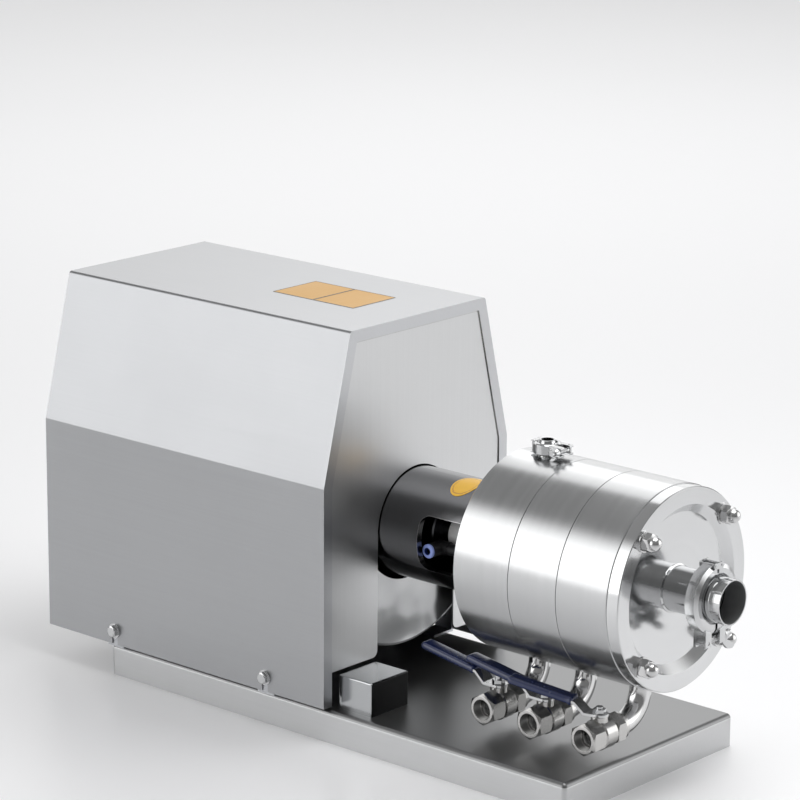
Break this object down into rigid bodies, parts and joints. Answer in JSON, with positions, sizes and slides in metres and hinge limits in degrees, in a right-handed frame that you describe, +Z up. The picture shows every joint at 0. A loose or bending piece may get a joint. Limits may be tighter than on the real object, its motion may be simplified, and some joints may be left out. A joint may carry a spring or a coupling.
{
  "type": "inline emulsifying pump",
  "caption": "Hooded flange-motor inline emulsifying pump: stacked steel barrel with toothed rotors, clamped inlet and outlet, and ball-valve drains on a folded base",
  "frame": {"origin": "on the floor under the middle of the machine's length, under the pump axis", "axes": "+X from the motor to the inlet along the pump axis, +Y away from the valve mouths, +Z up"},
  "size_m": [0.902, 0.3336, 0.476],
  "materials": {
    "satin_steel": "satin brushed stainless steel",
    "polished_steel": "polished stainless steel",
    "plain_steel": "machined stainless steel",
    "cast_steel": "investment-cast stainless steel, fine grain",
    "zinc_steel": "zinc-plated steel",
    "dark_bronze_steel": "dark glossy stainless steel",
    "motor_grey": "grey machine enamel",
    "core_iron": "varnished laminations",
    "winding_copper": "enamelled copper wire",
    "black_plastic": "black moulded plastic",
    "blue_plastic": "light blue moulded plastic",
    "navy_vinyl": "dipped navy vinyl",
    "seal_rubber": "black rubber",
    "seal_carbon": "carbon and rubber",
    "seal_ceramic": "pale ceramic"
  },
  "bodies": {
    "machine": {"base_pan": "satin_steel", "base_stiffeners": "zinc_steel", "cable_cover": "polished_steel", "cap_nuts": "polished_steel", "drain_pipes": "plain_steel", "fan_cowl": "motor_grey", "flange_cover": "polished_steel", "flush_collar": "blue_plastic", "flush_elbow": "black_plastic", "flush_nipple": "zinc_steel", "front_cover": "polished_steel", "front_housing": "satin_steel", "hood_bolts": "plain_steel", "hood_brackets": "zinc_steel", "hood_front_panel": "satin_steel", "hood_rear_panel": "satin_steel", "hood_shell": "satin_steel", "inlet_clamp": "polished_steel", "inlet_nozzle": "polished_steel", "joint_seals": "seal_rubber", "lantern": "dark_bronze_steel", "loose_stubs": "polished_steel", "middle_housing": "satin_steel", "motor_bearings": "zinc_steel", "motor_bolts": "zinc_steel", "motor_frame": "motor_grey", "motor_front_shield": "motor_grey", "motor_rails": "zinc_steel", "motor_rear_shield": "motor_grey", "outlet_clamp": "polished_steel", "outlet_nozzle": "polished_steel", "rear_housing": "satin_steel", "seal_housing": "plain_steel", "seal_seat": "seal_ceramic", "stage_stators": "plain_steel", "stator_core": "core_iron", "stator_windings": "winding_copper", "terminal_box": "motor_grey", "tie_studs": "plain_steel", "valve_bodies": "cast_steel"},
    "rotor": {"motor_shaft": "zinc_steel", "rotor_core": "core_iron", "motor_fan": "black_plastic", "pump_shaft": "plain_steel", "stage_rotors": "plain_steel", "shaft_spacers": "plain_steel", "seal_ring": "seal_carbon"},
    "valve_1": {"valve_stem_1": "plain_steel", "valve_lever_1": "plain_steel", "lever_grip_1": "navy_vinyl"},
    "valve_2": {"valve_stem_2": "plain_steel", "valve_lever_2": "plain_steel", "lever_grip_2": "navy_vinyl"},
    "valve_3": {"valve_stem_3": "plain_steel", "valve_lever_3": "plain_steel", "lever_grip_3": "navy_vinyl"},
    "inlet_bolt": {"inlet_swing_bolt": "polished_steel"},
    "inlet_nut": {"inlet_wing_nut": "polished_steel"},
    "outlet_bolt": {"outlet_swing_bolt": "polished_steel"},
    "outlet_nut": {"outlet_wing_nut": "polished_steel"}
  },
  "joints": [
    {"name": "rotor_spin", "type": "hinge", "parent": "machine", "child": "rotor", "pos_m": [0, 0, 0.2304], "axis": [1, 0, 0], "continuous": true},
    {"name": "valve_1_turn", "type": "hinge", "parent": "machine", "child": "valve_1", "pos_m": [0.184, -0.068, 0.069], "axis": [0, 0, 1], "range_deg": [0, 90]},
    {"name": "valve_2_turn", "type": "hinge", "parent": "machine", "child": "valve_2", "pos_m": [0.251, -0.068, 0.069], "axis": [0, 0, 1], "range_deg": [0, 90]},
    {"name": "valve_3_turn", "type": "hinge", "parent": "machine", "child": "valve_3", "pos_m": [0.327, -0.068, 0.069], "axis": [0, 0, 1], "range_deg": [-14, 76]},
    {"name": "inlet_bolt_swing", "type": "hinge", "parent": "machine", "child": "inlet_bolt", "pos_m": [0.422, -0.0128, 0.18236], "axis": [-1, 0, 0], "range_deg": [0, 100]},
    {"name": "inlet_nut_turn", "type": "hinge", "parent": "inlet_bolt", "child": "inlet_nut", "pos_m": [0.422, 0.024, 0.18236], "axis": [0, 1, 0], "continuous": true},
    {"name": "outlet_bolt_swing", "type": "hinge", "parent": "machine", "child": "outlet_bolt", "pos_m": [0.21697, 0.008, 0.3549], "axis": [0, 0, 1], "range_deg": [0, 100]},
    {"name": "outlet_nut_turn", "type": "hinge", "parent": "outlet_bolt", "child": "outlet_nut", "pos_m": [0.21697, -0.016, 0.3549], "axis": [0, -1, 0], "continuous": true}
  ]
}
